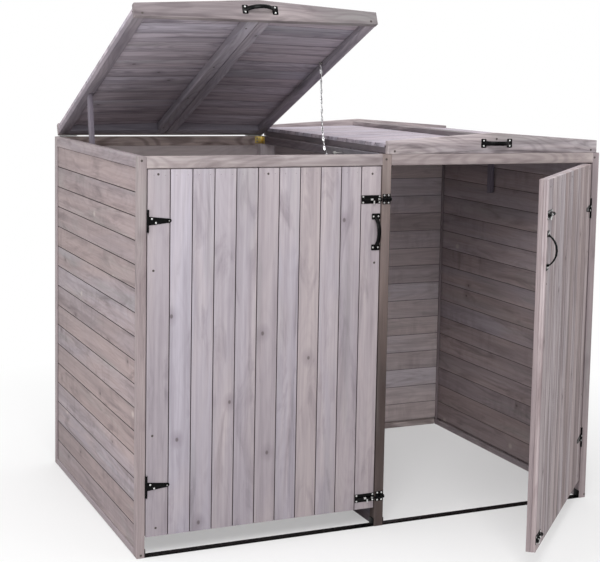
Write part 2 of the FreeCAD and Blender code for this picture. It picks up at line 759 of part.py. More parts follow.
rafter = shaped(
    "rafter", "XZ_Plane",
    [("0", "0"), ("rafter_wide", "0"),
     ("rafter_wide", f"lid_batten_high + roof_rise - rafter_groove / 2 * {roof_slope}"),
     ("0", f"lid_batten_high + roof_rise - ({rafter_side}) * {roof_slope}")],
    "roof_run", (f"-({rafter_side})", u("lid_deep - fascia_thick"), w("0")))
lid_rafters = [rafter, mirrored(rafter)]

slope_long = f"({half_lid}) / cos(atan({roof_slope})) - joint_gap"
roof_flat = boards(
    "roof", "YZ_Plane", "Y_Axis", "roof_board_count", "roof_run / roof_board_count", "roof_thick", True,
    slope_long, ("0", "0", "0"), ((slope_long, "roof_run", "roof_thick"), ("0", "0", "0")))
roof_slope_angle = f"atan({roof_slope})"
right_slope = turn(group("right_slope", [roof_flat]), (0, 1, 0), roof_slope_angle)
put(right_slope, ("joint_gap / 2", u("lid_deep - fascia_thick"),
                  w(f"lid_batten_high + roof_rise - joint_gap / 2 * {roof_slope}")))
lid_roof = [right_slope, mirrored(right_slope)]

half_ridge = "ridge_batten_wide / 2"
ridge_top = f"lid_batten_high + roof_rise + roof_thick / cos({roof_slope_angle})"
ridge_batten = shaped(
    "ridge_batten", "XZ_Plane",
    [(f"-{half_ridge}", f"{ridge_top} - {half_ridge} * {roof_slope}"), ("0", ridge_top),
     (half_ridge, f"{ridge_top} - {half_ridge} * {roof_slope}"), (half_ridge, f"{ridge_top} + ridge_batten_high"),
     (f"-{half_ridge}", f"{ridge_top} + ridge_batten_high")],
    "roof_run", ("0", u("lid_deep - fascia_thick"), w("0")))

# Lid hinges: the door hinge's leaves, laid with the pin across the back of the frame

PIN_ACROSS = ((1, 0, 1), 180)


def across_back(name, piece, place):
    return put(face(group(name, [piece]), *PIN_ACROSS), place)


lid_moving_leaf = moving_leaf("lid_leaf", box(
    "lid_leaf_plate", ("leaf_wide", "leaf_thick", "knuckle_long"),
    (leaf_start, "knuckle_radius - leaf_thick", "-knuckle_long / 2")), "0", "edge_ease")
lid_fixed_leaf = fixed_leaf("frame_leaf", "0")
lid_pin = hinge_pin("lid_pin", "0")
hinge_place = f"{half_lid} - lid_hinge_inset"
lid_leaf = across_back("lid_leaf_set", lid_moving_leaf, (hinge_place, "0", "0"))
lid_leaves = [lid_leaf, mirrored(lid_leaf)]

frame_lid_leaves = []
lid_pins = []
for number, centre in enumerate((f"lid_centre - ({hinge_place})", f"lid_centre + {hinge_place}"), start=1):
    place = (centre, lid_axis_y, lid_axis_z)
    leaf = across_back(f"frame_leaf_set_{number}", lid_fixed_leaf, place)
    pin = across_back(f"lid_pin_set_{number}", lid_pin, place)
    frame_lid_leaves += [leaf, mirrored(leaf)]
    lid_pins += [pin, mirrored(pin)]

frame_door_leaves = []
door_pins = []
for level in ("upper", "lower"):
    leaf = fixed_leaf(f"{level}_door_leaf", f"{level}_hinge_level")
    pin = hinge_pin(f"{level}_door_pin", f"{level}_hinge_level")
    leaf_set = put(group(f"{level}_leaf_set", [leaf]), (f"-({door_axis_x})", door_axis_y, "0"))
    pin_set = put(group(f"{level}_pin_set", [pin]), (f"-({door_axis_x})", door_axis_y, "0"))
    frame_door_leaves += [leaf_set, mirrored(leaf_set)]
    door_pins += [pin_set, mirrored(pin_set)]

node("frame_door_hinge_leaves", frame_door_leaves)
node("frame_lid_hinge_leaves", frame_lid_leaves)
node("hinge_pins", door_pins + lid_pins)

lid_handle = put(face(group("lid_handle_set", [pull_handle("lid_handle")]), (0, 1, 0), 90),
                 ("0", u("lid_deep"), w("lid_handle_rise")))

# Bent wire: a six-sided wire run round a closed path in the x-z plane, whose first edge is upright

def bent_wire(name, corners):
    path_body = doc.addObject("PartDesign::Body", f"{name}_path")
    path = outline(path_body, "XZ_Plane", corners)
    section = doc.addObject("Part::RegularPolygon", f"{name}_section")
    section.Polygon = 6
    bind(section, "Circumradius", "wire_radius")
    (across, low), (_, high) = corners[:2]
    put(section, (across, "0", f"({low} + {high}) / 2"))
    bent = doc.addObject("Part::Sweep", name)
    bent.Sections = [section]
    bent.Spine = (path, [f"Edge{edge}" for edge in range(1, len(corners) + 1)])
    bent.Solid = True
    bent.Transition = "Right corner"
    return bent


# Screw eyes: a ring that stands in the x-z plane, with its shank running to +x

flat = "eye_radius * tan(22.5)"
eye_ring = bent_wire("eye_ring", [
    ("-eye_radius", f"-{flat}"), ("-eye_radius", flat), (f"-{flat}", "eye_radius"), (flat, "eye_radius"),
    ("eye_radius", flat), ("eye_radius", f"-{flat}"), (flat, "-eye_radius"), (f"-{flat}", "-eye_radius"),
])


def screw_eye(name, shank, centre):
    stem = twelve(f"{name}_stem", "wire_radius", shank, ("eye_radius", "0", "0"), "x")
    return put(group(f"{name}_set", [fuse(name, [eye_ring, stem])]), centre)


lid_eye = screw_eye("lid_eye", "chain_from_batten - eye_radius",
                    (f"{half_lid} - lid_batten_wide - chain_from_batten", "-chain_reach", w("eye_rise")))
anchor_eye = screw_eye("anchor_eye", "chain_line - divider_thick / 2 - eye_radius",
                       ("-(chain_line)", f"{lid_axis_y} - (anchor_ahead)", f"{lid_axis_z} + anchor_up + eye_radius"))
node("chain_anchor_eyes", [anchor_eye, mirrored(anchor_eye)])

# Lids set on the frame: the left one open, the right one closed

LID_PIECES = {
    "fascias": lid_fascias,
    "battens": lid_battens,
    "rafters": lid_rafters,
    "roof_boards": lid_roof,
    "ridge_batten": [ridge_batten],
    "hinge_leaves": lid_leaves,
    "handle": [lid_handle],
    "chain_eye": [lid_eye],
}
for label, pieces in LID_PIECES.items():
    node(f"lid_left_{label}", pieces, ("-(lid_centre)", lid_axis_y, lid_axis_z), (-1, 0, 0), "lid_open_angle")
    node(f"lid_right_{label}", [mirrored(piece) for piece in pieces], ("lid_centre", lid_axis_y, lid_axis_z))

# Props: slats on a screw in the side's top rail, the head cut to the open lid's slope

half_prop = "prop_wide / 2"
head_rise = f"{half_prop} * tan(lid_open_angle - prop_lean)"
slat = shaped(
    "slat", "YZ_Plane",
    [(f"-{half_prop}", "-prop_tail"), (half_prop, "-prop_tail"), (half_prop, f"prop_long - {head_rise}"),
     (f"-{half_prop}", f"prop_long + {head_rise}")],
    "prop_thick", ("fit", "0", "0"))
slat_bore = twelve("slat_bore", "prop_screw_radius + pin_clearance", "prop_thick", ("fit", "0", "0"), "x")
prop = cut("prop_slat", slat, slat_bore)
prop_place = (lid_axis_y + " - (prop_back)", lid_axis_z + " - (prop_fall)")
node("prop_left", [prop], ("-(stile_inside)", *prop_place), (-1, 0, 0), "prop_lean")
node("prop_right", [mirrored(prop)], ("stile_inside", *prop_place), (1, 0, 0), "180")

prop_screw = put(fuse("prop_screw", [
    twelve("prop_screw_shank", "prop_screw_radius * cos(15)", "prop_thick + 2 * fit", ("0", "0", "0"), "x"),
    twelve("prop_screw_head", "prop_screw_head_radius", "prop_screw_head_long", ("prop_thick + 2 * fit", "0", "0"), "x"),
]), ("-(stile_inside)", *prop_place))
node("prop_screws", [prop_screw, mirrored(prop_screw)])

# Chains: each link hangs from the origin, and every second one is turned to face the side.
# A run is a row of links that stays straight.

half_link = "link_half_wide"
bend = f"{half_link} / 2"
link_top = "link_overlap"
link_foot = "link_overlap - (link_long)"
link = bent_wire("link", [
    (f"-{half_link}", f"{link_foot} + {half_link}"), (f"-{half_link}", f"{link_top} - {half_link}"),
    (f"-{bend}", link_top), (bend, link_top), (half_link, f"{link_top} - {half_link}"),
    (half_link, f"{link_foot} + {half_link}"), (bend, link_foot), (f"-{bend}", link_foot),
])


def run_of_links(first, count):
    """Links in a straight run, hanging down from the origin, the first of them numbered along the chain."""
    links = []
    for number in range(count):
        hung = face(group(f"link_{first + number}", [link]), (0, 0, 1), 90 * ((first + number) % 2))
        links.append(put(hung, ("0", "0", f"-{number} * chain_pitch")))
    return group(f"run_from_{first}", links)


runs = [run_of_links(1 + sum(RUNS[:place]), count) for place, count in enumerate(RUNS)]


def chain(side, line, top, leans):
    """The runs of a chain, each hung from the last link of the run above it."""
    places = top
    for number, (run, count, lean) in enumerate(zip(runs, RUNS, leans), start=1):
        hung = node(f"chain_{side}_{number}", [run], (line, *places), (-1, 0, 0), lean)
        held = f"{hung.Name}.Placement"
        places = (f"{held}.Base.y / 1 mm - {count} * chain_pitch * sin({held}.Rotation.Angle)",
                  f"{held}.Base.z / 1 mm - {count} * chain_pitch * cos({held}.Rotation.Angle)")


chain("left", "-(chain_line)", (f"{lid_axis_y} - (open_ahead)", f"{lid_axis_z} + open_up"),
      ("hang_one", "hang_two", "hang_three", "hang_first", "hang_last"))
chain("right", "chain_line", (f"{lid_axis_y} - chain_reach", f"{lid_axis_z} + chain_drop"),
      ("360 + fold_first", "fold_two", "fold_three", "fold_four", "fold_last"))

# Check every object, then write each named sub-part to its own file

doc.recompute()
for thing in doc.Objects:
    if "Invalid" in thing.State or "Error" in thing.State:
        raise RuntimeError(f"{thing.Name} is {thing.State}")

os.makedirs("parts", exist_ok=True)
facets = 0
for held in NODES:
    shape = held.Shape
    if shape.isNull() or not shape.isValid() or not shape.Solids:
        raise RuntimeError(f"{held.Label} has no sound shape")
    facets += len(shape.tessellate(0.1)[1])
    shape.exportStep(f"parts/{held.Label}.step")
    print(held.Label, len(shape.Solids))
print(len(NODES), "sub-parts,", facets, "facets")
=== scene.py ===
import json
import math
import random

import bmesh
import bpy
from mathutils import Matrix, Vector


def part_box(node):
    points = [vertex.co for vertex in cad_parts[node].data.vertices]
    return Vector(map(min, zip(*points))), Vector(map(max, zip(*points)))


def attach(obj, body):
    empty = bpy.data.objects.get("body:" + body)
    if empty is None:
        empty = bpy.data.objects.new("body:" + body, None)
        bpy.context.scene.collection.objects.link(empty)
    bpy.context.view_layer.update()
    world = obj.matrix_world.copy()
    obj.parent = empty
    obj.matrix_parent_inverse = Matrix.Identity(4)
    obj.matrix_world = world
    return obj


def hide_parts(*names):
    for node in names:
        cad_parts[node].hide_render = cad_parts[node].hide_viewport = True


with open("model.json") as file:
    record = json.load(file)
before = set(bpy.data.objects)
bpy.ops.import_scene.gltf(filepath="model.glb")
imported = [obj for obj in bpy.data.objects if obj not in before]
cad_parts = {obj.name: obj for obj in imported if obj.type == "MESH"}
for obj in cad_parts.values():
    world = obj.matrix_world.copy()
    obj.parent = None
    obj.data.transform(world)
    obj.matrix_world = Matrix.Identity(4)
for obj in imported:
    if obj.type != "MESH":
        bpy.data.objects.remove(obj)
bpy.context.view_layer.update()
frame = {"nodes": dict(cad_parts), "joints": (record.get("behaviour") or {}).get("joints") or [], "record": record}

# A timber store with two bays. Metres, +Z up, +Y to the back, +X to the right. Every node of the
# frame gets a dressed copy of its own solids, and the small screws and nails are added here.

nodes = frame["nodes"]
bodies = frame["record"]["behaviour"]["bodies"]
body_of_node = {node: body for body, held in bodies.items() for node in held}

MM = 0.001

# Corners of loose triangles that lie this close are one corner
MERGE = 0.02 * MM

# Each side of the store, with the way along X towards the middle post
TO_MIDDLE = {"left": 1, "right": -1}


# Camera, at the photograph's place and angle

CAMERA_PLACE = (-1.874, -4.203, 1.444)
CAMERA_AHEAD = (0.42062, 0.90114, -0.10499)
CAMERA_RIGHT = (0.90689, -0.42082, 0.02135)
LENS_MM = 80.52
FILM_MM = 36
SHIFT_ACROSS = -0.068
SHIFT_UP = -0.120


def aim_camera():
    """Look at the store from its front left, a little above the closed lid."""
    lens = bpy.data.cameras.new("view")
    lens.lens = LENS_MM
    lens.sensor_width = FILM_MM
    lens.shift_x = SHIFT_ACROSS
    lens.shift_y = SHIFT_UP
    lens.clip_end = 100
    camera = bpy.data.objects.new("view", lens)
    bpy.context.collection.objects.link(camera)
    ahead = Vector(CAMERA_AHEAD).normalized()
    right = Vector(CAMERA_RIGHT)
    right = (right - ahead * right.dot(ahead)).normalized()
    up = right.cross(ahead)
    turn = Matrix((right, up, -ahead)).transposed().to_4x4()
    camera.matrix_world = Matrix.Translation(CAMERA_PLACE) @ turn
    bpy.context.scene.camera = camera


aim_camera()


# Shader helpers

# Sockets of a colour mix, by number, because its number and colour sockets share their names
MIX_SHARE = 0
MIX_FIRST = 6
MIX_SECOND = 7
MIX_RESULT = 2


def new_material(name):
    """A material with an empty tree."""
    material = bpy.data.materials.new(name)
    material.use_nodes = True
    tree = material.node_tree
    tree.nodes.clear()
    return material, tree


def add(tree, kind, **settings):
    """A new shader node, with its sockets and settings given by name."""
    made = tree.nodes.new(kind)
    for key, amount in settings.items():
        if key in made.inputs:
            made.inputs[key].default_value = amount
        else:
            setattr(made, key, amount)
    return made


def feed(tree, thing, socket):
    """Link an output to a socket, or set the socket to a plain number or colour."""
    if isinstance(thing, bpy.types.NodeSocket):
        tree.links.new(thing, socket)
    else:
        socket.default_value = thing


def worked_out(tree, operation, *things):
    """The result of one operation on numbers and outputs."""
    made = add(tree, "ShaderNodeMath", operation=operation)
    for socket, thing in zip(made.inputs, things):
        feed(tree, thing, socket)
    return made.outputs[0]


def blend(tree, first, share, second):
    """The first colour, with a share of the second over it."""
    made = add(tree, "ShaderNodeMix", data_type="RGBA")
    for number, thing in ((MIX_SHARE, share), (MIX_FIRST, first), (MIX_SECOND, second)):
        feed(tree, thing, made.inputs[number])
    return made.outputs[MIX_RESULT]


def parts_of(tree, source):
    """The X, Y and Z of an output."""
    parts = add(tree, "ShaderNodeSeparateXYZ")
    tree.links.new(source, parts.inputs[0])
    return parts.outputs


def relief(tree, height, strength, distance, onto=None, inward=False):
    """A surface raised by a pattern, or cut in by it, over the relief that it is given."""
    bump = add(tree, "ShaderNodeBump", Strength=strength, Distance=distance, invert=inward)
    tree.links.new(height, bump.inputs["Height"])
    if onto is not None:
        tree.links.new(onto, bump.inputs["Normal"])
    return bump.outputs["Normal"]


def tone(red, green, blue):
    """A colour given in the 0 to 255 steps of a screen, for a shader."""
    def level(amount):
        share = amount / 255
        return share / 12.92 if share <= 0.04045 else ((share + 0.055) / 1.055) ** 2.4
    return (level(red), level(green), level(blue), 1)


# Studio: a pale floor that fades to white, a white room and soft lamps

FLOOR_WIDE = 60
FLOOR_DROP = 0.4 * MM
FLOOR_GREY = (0.88, 0.88, 0.88, 1)
WHITE = (1, 1, 1, 1)

# The floor's own glow: its share by the middle, and the distances between which it grows to full
GLOW_BY_MIDDLE = 0.35
GLOW_START = 0.8
GLOW_END = 2.2

ROOM_LIGHT = 0.48
LAMPS_AIM = Vector((0, 0, 0.7))

# Name, place, watts and width of each lamp
LAMPS = (
    ("key", (-1.7, -4.2, 4.2), 168, 2.6),
    ("fill", (-5.0, -1.0, 2.6), 76, 3.0),
    ("top", (0.3, 0.4, 5.0), 100, 4.0),
)


def seen_rays(tree):
    """One where the background is looked at or mirrored, and nought where it gives light."""
    path = add(tree, "ShaderNodeLightPath").outputs
    return worked_out(tree, "MAXIMUM", path["Is Camera Ray"], path["Is Glossy Ray"])


def lay_floor():
    """A wide pale floor, just under the store's feet."""
    bpy.ops.object.select_all(action="DESELECT")
    bpy.ops.mesh.primitive_plane_add(size=FLOOR_WIDE, location=(0, 0, -FLOOR_DROP))
    floor = bpy.context.object
    floor.name = "floor"
    material, tree = new_material("pale_floor")
    link = tree.links.new
    out = add(tree, "ShaderNodeOutputMaterial")
    pale = add(tree, "ShaderNodeBsdfDiffuse", Color=FLOOR_GREY)
    glow = add(tree, "ShaderNodeEmission", Strength=1)
    place = add(tree, "ShaderNodeTexCoord")
    reach = add(tree, "ShaderNodeVectorMath", operation="LENGTH")
    fade = add(tree, "ShaderNodeMapRange",
               **{"From Min": GLOW_START, "From Max": GLOW_END, "To Min": GLOW_BY_MIDDLE})
    mix = add(tree, "ShaderNodeMixShader")
    link(place.outputs["Object"], reach.inputs[0])
    link(reach.outputs["Value"], fade.inputs["Value"])
    link(worked_out(tree, "MULTIPLY", fade.outputs["Result"], seen_rays(tree)), mix.inputs["Fac"])
    link(pale.outputs[0], mix.inputs[1])
    link(glow.outputs[0], mix.inputs[2])
    link(mix.outputs[0], out.inputs["Surface"])
    floor.data.materials.append(material)


def light_room():
    """A room that looks white and lights softly, and three broad lamps."""
    world = bpy.data.worlds.new("studio")
    bpy.context.scene.world = world
    world.use_nodes = True
    tree = world.node_tree
    tree.nodes.clear()
    out = add(tree, "ShaderNodeOutputWorld")
    soft = add(tree, "ShaderNodeBackground", Color=WHITE, Strength=ROOM_LIGHT)
    white = add(tree, "ShaderNodeBackground", Color=WHITE, Strength=1)
    mix = add(tree, "ShaderNodeMixShader")
    link = tree.links.new
    link(seen_rays(tree), mix.inputs["Fac"])
    link(soft.outputs[0], mix.inputs[1])
    link(white.outputs[0], mix.inputs[2])
    link(mix.outputs[0], out.inputs["Surface"])
    for name, place, power, wide in LAMPS:
        lamp = bpy.data.lights.new(name, "AREA")
        lamp.energy = power
        lamp.size = wide
        held = bpy.data.objects.new(name, lamp)
        held.location = place
        held.rotation_euler = (LAMPS_AIM - Vector(place)).to_track_quat("-Z", "Y").to_euler()
        bpy.context.collection.objects.link(held)
    bpy.context.scene.view_settings.view_transform = "Standard"


lay_floor()
light_room()


# Timber finishes

WOOD_ROUGH = 0.8
GREY_PATCH = tone(150, 150, 148)
# Dirt with painted shade, for the board edges inside the joints
JOINT_DIRT_AND_SHADE = tone(62, 50, 52)
KNOT_EYE = tone(66, 52, 50)
KNOT_PALE = tone(206, 196, 188)

# Share of its dark tone that one whole step of darkening brings to a board, for weathering and on some boards as
# painted shade
WEATHER_AND_SHADE_SHARE = 0.26

# Growth rings: radians of their wave in a metre out from the heart, and how far they waver
RING_RADIANS = 1300
RING_WAVER = 20 * MM
HEART_DRIFT = 90 * MM

# Knots: places for one in a metre along and across the grain, the draw from nought to one above
# which a place holds a dark knot, and the draw below which it holds a pale one
KNOTS_ALONG = 8
KNOTS_ACROSS = 11
DARK_KNOT_FROM = 0.93
PALE_KNOT_TO = 0.05


def wood(name, pale, warm, dark, streaks, stains, sawn=0.0, figure=0.2):
    """Greyed softwood. Its pattern reads each board's own measures, in metres from the board's
    middle: grain runs along, across and through the board, tint differs by board, is darkened on a
    few boards as painted shade and darkens towards the foot, with weathering and painted shade, and
    hollow is one on the edges inside the joints, which take dirt and painted shade. Streaks and
    figure follow the grain, stains are weathered patches, and sawn bands and pale knots mark a
    board that was never planed."""
    material, tree = new_material(name)
    link = tree.links.new
    out = add(tree, "ShaderNodeOutputMaterial")
    shader = add(tree, "ShaderNodeBsdfPrincipled", Roughness=WOOD_ROUGH)
    grain = add(tree, "ShaderNodeAttribute", attribute_name="grain").outputs["Vector"]
    tint = add(tree, "ShaderNodeAttribute", attribute_name="tint").outputs["Vector"]
    hollow = add(tree, "ShaderNodeAttribute", attribute_name="hollow").outputs["Fac"]

    def times(first, second):
        return worked_out(tree, "MULTIPLY", first, second)

    def stretched(along, across):
        """The grain's measures, scaled along the board and across and through it."""
        laid = add(tree, "ShaderNodeMapping", Scale=(along, across, across))
        link(grain, laid.inputs["Vector"])
        return laid.outputs["Vector"]

    def noise(along, across, detail, distort=0.0):
        """Noise with so many blots in a metre along and across the grain."""
        made = add(tree, "ShaderNodeTexNoise", Scale=1, Detail=detail, Roughness=0.6, Distortion=distort)
        link(stretched(along, across), made.inputs["Vector"])
        return made.outputs["Fac"]

    def ramp(source, start, end, most=1.0):
        """Nought where the source is at start or before it, and most at end or past it."""
        made = add(tree, "ShaderNodeMapRange", clamp=True,
                   **{"From Min": start, "From Max": end, "To Max": most})
        link(source, made.inputs["Value"])
        return made.outputs["Result"]

    bundles = ramp(noise(2.1, 38, 5, 0.5), 0.44, 0.72)
    veins = ramp(noise(2.4, 120, 8, 0.2), 0.42, 0.70)
    hairs = ramp(noise(7, 560, 5), 0.30, 0.70)
    warm_patches = ramp(noise(1.1, 9, 3, 0.8), 0.44, 0.70, stains * 1.5)
    grey_patches = ramp(noise(1.9, 14, 3, 0.6), 0.55, 0.78, stains)
    dark_patches = ramp(noise(3.2, 19, 5, 1.2), 0.52, 0.80, stains * 1.4)
    sawn_parts = ramp(noise(3, 5, 2), 0.45, 0.65)
    sawn_bands = ramp(noise(24, 7, 3, 0.4), 0.46, 0.72, sawn)

    # Growth rings about a heart below the board, wavering along it into flame figure
    laid = parts_of(tree, grain)
    drift = noise(1.6, 3, 2)
    waver = noise(2.5, 10, 2)
    spread = add(tree, "ShaderNodeCombineXYZ")
    link(worked_out(tree, "MULTIPLY_ADD", waver, RING_WAVER, laid["Y"]), spread.inputs[1])
    link(worked_out(tree, "MULTIPLY_ADD", drift, HEART_DRIFT, laid["Z"]), spread.inputs[2])
    heart = add(tree, "ShaderNodeVectorMath", operation="LENGTH")
    link(spread.outputs[0], heart.inputs[0])
    wave = worked_out(tree, "SINE", times(heart.outputs["Value"], RING_RADIANS))
    rings = ramp(wave, -0.2, 1.0)

    # Knots: a dark eye in a brown ring or a pale smooth one, in some of the places for one
    spots = add(tree, "ShaderNodeTexVoronoi", Scale=1, Randomness=1, voronoi_dimensions="2D")
    link(stretched(KNOTS_ALONG, KNOTS_ACROSS), spots.inputs["Vector"])
    pick = parts_of(tree, spots.outputs["Color"])["X"]
    reach = worked_out(tree, "MULTIPLY_ADD", waver, 0.05, spots.outputs["Distance"])
    dark_knot = worked_out(tree, "GREATER_THAN", pick, DARK_KNOT_FROM)
    pale_knot = worked_out(tree, "LESS_THAN", pick, PALE_KNOT_TO)
    eye = times(dark_knot, ramp(reach, 0.085, 0.055))
    halo = times(dark_knot, ramp(reach, 0.30, 0.06))
    smooth = times(pale_knot, ramp(reach, 0.16, 0.07))

    # Layers over the board's pale tone, each a share and the colour that it brings
    tints = parts_of(tree, tint)
    board = pale
    for share, colour in (
        (tints["X"], warm),
        # Single boards darkened for weathering, and on a few as painted shade
        (times(tints["Y"], WEATHER_AND_SHADE_SHARE), dark),
        # Darker towards the foot, for weathering and as painted shade
        (tints["Z"], dark),
        (warm_patches, warm),
        (grey_patches, GREY_PATCH),
        (dark_patches, dark),
        (times(rings, figure), dark),
        (times(bundles, streaks), dark),
        (times(veins, streaks * 0.6), dark),
        (times(hairs, streaks * 0.4), dark),
        (times(sawn_parts, sawn_bands), dark),
        (times(halo, 0.4), dark),
        (times(eye, 0.6), KNOT_EYE),
        (times(smooth, sawn), KNOT_PALE),
        # Dirt and painted shade on the board edges inside the joints
        (times(hollow, 0.9), JOINT_DIRT_AND_SHADE),
    ):
        board = blend(tree, board, share, colour)
    link(board, shader.inputs["Base Color"])

    cut = relief(tree, veins, 0.3, 1 * MM, inward=True)
    link(relief(tree, hairs, 0.25, 0.4 * MM, onto=cut, inward=True), shader.inputs["Normal"])
    link(shader.outputs[0], out.inputs["Surface"])
    return material


DOOR_WOOD = wood("door_wood", tone(197, 191, 202), tone(190, 178, 179), tone(106, 96, 105),
                 streaks=0.34, stains=0.48, figure=0.05)
OPEN_DOOR_WOOD = wood("open_door_wood", tone(226, 219, 226), tone(200, 182, 180), tone(104, 88, 90),
                      streaks=0.80, stains=0.5, figure=0.1)
SIDE_WOOD = wood("side_wood", tone(179, 170, 178), tone(173, 155, 153), tone(94, 82, 85),
                 streaks=0.36, stains=0.55, sawn=0.4, figure=0.08)
# Paler than the boards' own tone: painted light on the back wall inside the store
BACK_WOOD_PAINTED_LIGHT = wood("back_wood_painted_light", tone(234, 227, 234), tone(228, 214, 212), tone(132, 118, 120),
                 streaks=0.30, stains=0.5, sawn=0.4, figure=0.1)
FRAME_WOOD = wood("frame_wood", tone(186, 177, 183), tone(176, 162, 162), tone(98, 85, 90),
                  streaks=0.42, stains=0.5, figure=0.16)
FRONT_RAIL_WOOD = wood("front_rail_wood", tone(206, 201, 206), tone(194, 181, 179), tone(104, 91, 94),
                       streaks=0.42, stains=0.6, figure=0.28)
# Paler than the rails' own tone: painted light on the back rails inside the store
RAIL_WOOD_PAINTED_LIGHT = wood("rail_wood_painted_light", tone(236, 224, 222), tone(222, 202, 196), tone(92, 75, 74),
                 streaks=0.46, stains=0.6, figure=0.5)
POST_WOOD = wood("post_wood", tone(170, 154, 150), tone(150, 130, 124), tone(58, 46, 44),
                 streaks=0.4, stains=0.22, figure=0.1)
LID_WOOD = wood("lid_wood", tone(211, 203, 211), tone(201, 188, 188), tone(90, 80, 84),
                streaks=0.50, stains=0.90, figure=0.24)
# The rafters' and roof boards' woods are paler than their own tone: painted light on the open lid's underside
RAFTER_WOOD_PAINTED_LIGHT = wood("rafter_wood_painted_light", tone(184, 180, 193), tone(180, 168, 174), tone(88, 80, 90),
                   streaks=0.42, stains=0.5)
ROOF_WOOD_PAINTED_LIGHT = wood("roof_wood_painted_light", tone(214, 208, 222), tone(208, 194, 202), tone(92, 84, 96),
                 streaks=0.46, stains=0.65)
PROP_WOOD = wood("prop_wood", tone(124, 118, 132), tone(120, 112, 122), tone(84, 76, 86),
                 streaks=0.3, stains=0.4)
# A dark wood for the divider rails and the right lid's battens; its darkness is partly painted shade, where these
# lie in shade
DUSKY_WOOD_PAINTED_SHADE = wood("dusky_wood_painted_shade", tone(122, 119, 130), tone(126, 110, 112), tone(54, 49, 56),
                  streaks=0.4, stains=0.5)


# Metal finishes

BLACK_PAINT = (0.0012, 0.0012, 0.0014, 1)
BLACK_GLOSS = 0.10
ZINC = (0.72, 0.72, 0.71, 1)

# How far its patches take a metal's roughness either way
GLOSS_SPREAD = 0.08

# Bare lengths of a bolt, from its knob towards the keeper, and the bare height of the knob
BRIGHT_RUNS = ((-13 * MM, -5 * MM), (12 * MM, 20 * MM))
KNOB_BARE = 11.4 * MM


def cloud(tree, blots):
    """Fine noise with so many blots in a metre, the same wherever the piece moves."""
    place = add(tree, "ShaderNodeTexCoord")
    made = add(tree, "ShaderNodeTexNoise", Scale=blots, Detail=4)
    tree.links.new(place.outputs["Object"], made.inputs["Vector"])
    return made.outputs["Fac"]


def patched(tree, colour, share, darker):
    """A metal's colour with faint darker patches."""
    shaded = (*(level * darker for level in colour[:3]), 1)
    return blend(tree, colour, share, shaded)


def metal(name, colour, metallic, rough, specular=0.5):
    """Plated or painted steel with faint patches in its colour and gloss."""
    material, tree = new_material(name)
    link = tree.links.new
    out = add(tree, "ShaderNodeOutputMaterial")
    shader = add(tree, "ShaderNodeBsdfPrincipled", Metallic=metallic,
                 **{"Specular IOR Level": specular})
    patches = cloud(tree, 140)
    link(patched(tree, colour, patches, 0.85), shader.inputs["Base Color"])
    gloss = add(tree, "ShaderNodeMapRange",
                **{"To Min": rough - GLOSS_SPREAD, "To Max": rough + GLOSS_SPREAD})
    link(patches, gloss.inputs["Value"])
    link(gloss.outputs["Result"], shader.inputs["Roughness"])
    link(relief(tree, patches, 0.08, 0.4 * MM), shader.inputs["Normal"])
    link(shader.outputs[0], out.inputs["Surface"])
    return material


def two_tone_bolt(name):
    """Black steel with bright zinc on the knob and on two short runs of the rod, beside the knob and towards the
    keeper.
    """
    material, tree = new_material(name)
    link = tree.links.new
    out = add(tree, "ShaderNodeOutputMaterial")
    black = add(tree, "ShaderNodeBsdfPrincipled", Roughness=0.27,
                **{"Specular IOR Level": BLACK_GLOSS})
    bright = add(tree, "ShaderNodeBsdfPrincipled", Metallic=1, Roughness=0.28)
    patches = cloud(tree, 160)
    for shader, colour in ((black, BLACK_PAINT), (bright, ZINC)):
        link(patched(tree, colour, patches, 0.82), shader.inputs["Base Color"])
    slide = add(tree, "ShaderNodeAttribute", attribute_name="slide").outputs["Vector"]
    along = parts_of(tree, slide)["X"]
    bare = worked_out(tree, "LESS_THAN", parts_of(tree, slide)["Z"], KNOB_BARE)
    for start, end in BRIGHT_RUNS:
        past_start = worked_out(tree, "GREATER_THAN", along, start)
        before_end = worked_out(tree, "LESS_THAN", along, end)
        bare = worked_out(tree, "MAXIMUM", bare, worked_out(tree, "MULTIPLY", past_start, before_end))
    mix = add(tree, "ShaderNodeMixShader")
    link(bare, mix.inputs["Fac"])
    link(black.outputs[0], mix.inputs[1])
    link(bright.outputs[0], mix.inputs[2])
    link(mix.outputs[0], out.inputs["Surface"])
    return material


BOLT_STEEL = two_tone_bolt("bolt_steel")
BLACK_STEEL = metal("black_steel", BLACK_PAINT, 0.0, 0.26, BLACK_GLOSS)
BRIGHT_ZINC = metal("bright_zinc", ZINC, 1, 0.30)
CHAIN_ZINC = metal("chain_zinc", (0.70, 0.70, 0.71, 1), 1, 0.20)
DULL_ZINC = metal("dull_zinc", (0.42, 0.41, 0.40, 1), 1, 0.34)
YELLOW_ZINC = metal("yellow_zinc", (0.75, 0.58, 0.20, 1), 1, 0.35)
DARK_NAIL = metal("dark_nail", (0.085, 0.07, 0.065, 1), 0.5, 0.5)
GREY_NAIL = metal("grey_nail", (0.24, 0.22, 0.23, 1), 0.5, 0.5)


# Copies of the nodes, merged from their loose triangles

# Edges that turn by more than this are eased, in degrees
TIMBER_ANGLE = 40
STEEL_ANGLE = 50
HEAD_ANGLE = 60


def islands(shape):
    """The separate solids of a mesh, as lists of its vertices."""
    left = set(shape.verts)
    while left:
        piece = []
        edge = [left.pop()]
        while edge:
            here = edge.pop()
            piece.append(here)
            for side in here.link_edges:
                there = side.other_vert(here)
                if there in left:
                    left.remove(there)
                    edge.append(there)
        yield piece


